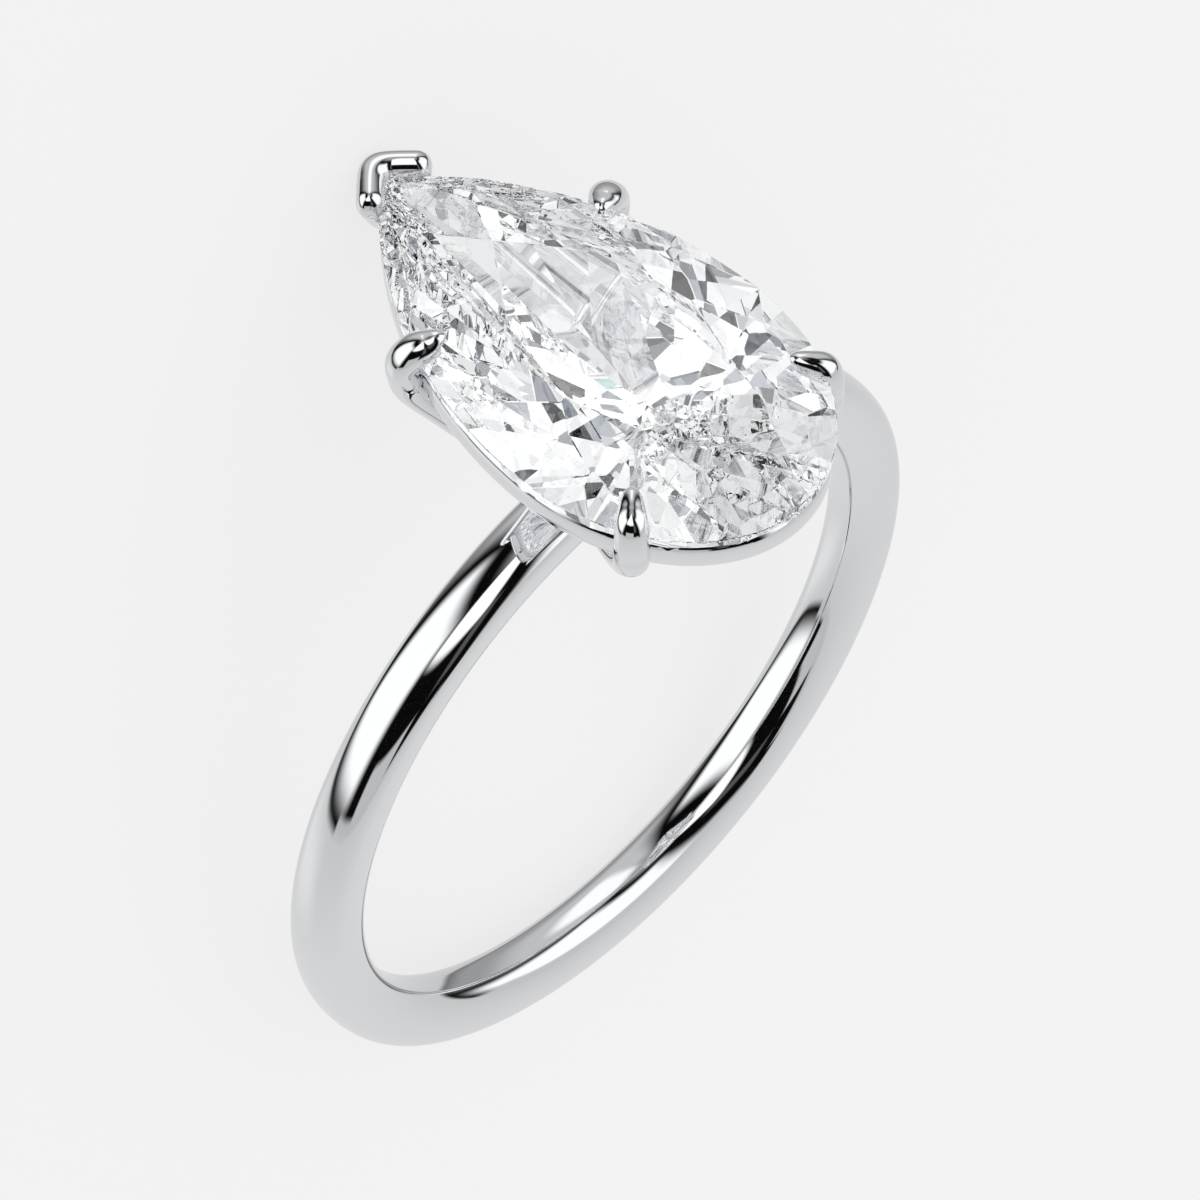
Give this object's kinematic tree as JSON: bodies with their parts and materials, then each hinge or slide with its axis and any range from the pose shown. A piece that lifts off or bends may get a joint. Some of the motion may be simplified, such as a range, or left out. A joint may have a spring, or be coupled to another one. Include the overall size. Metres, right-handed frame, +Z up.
{
  "type": "solitaire ring",
  "caption": "Finger ring with a slim rounded band, an open claw setting with a V-shaped tip claw, and one large pear-cut clear stone.",
  "frame": {"origin": "centre of the finger hole, halfway through the band", "axes": "the ring lies on its side as it rests: +Z up, -Y from the finger hole towards the stone, X along the band's width across the finger, both sides of it alike"},
  "size_m": [0.0198, 0.0255, 0.0133],
  "materials": {
    "white_gold": "polished white gold, rhodium plated",
    "diamond": "cut and polished clear diamond"
  },
  "bodies": {
    "root": {"band_and_setting": "white_gold", "stone": "diamond"}
  },
  "joints": []
}
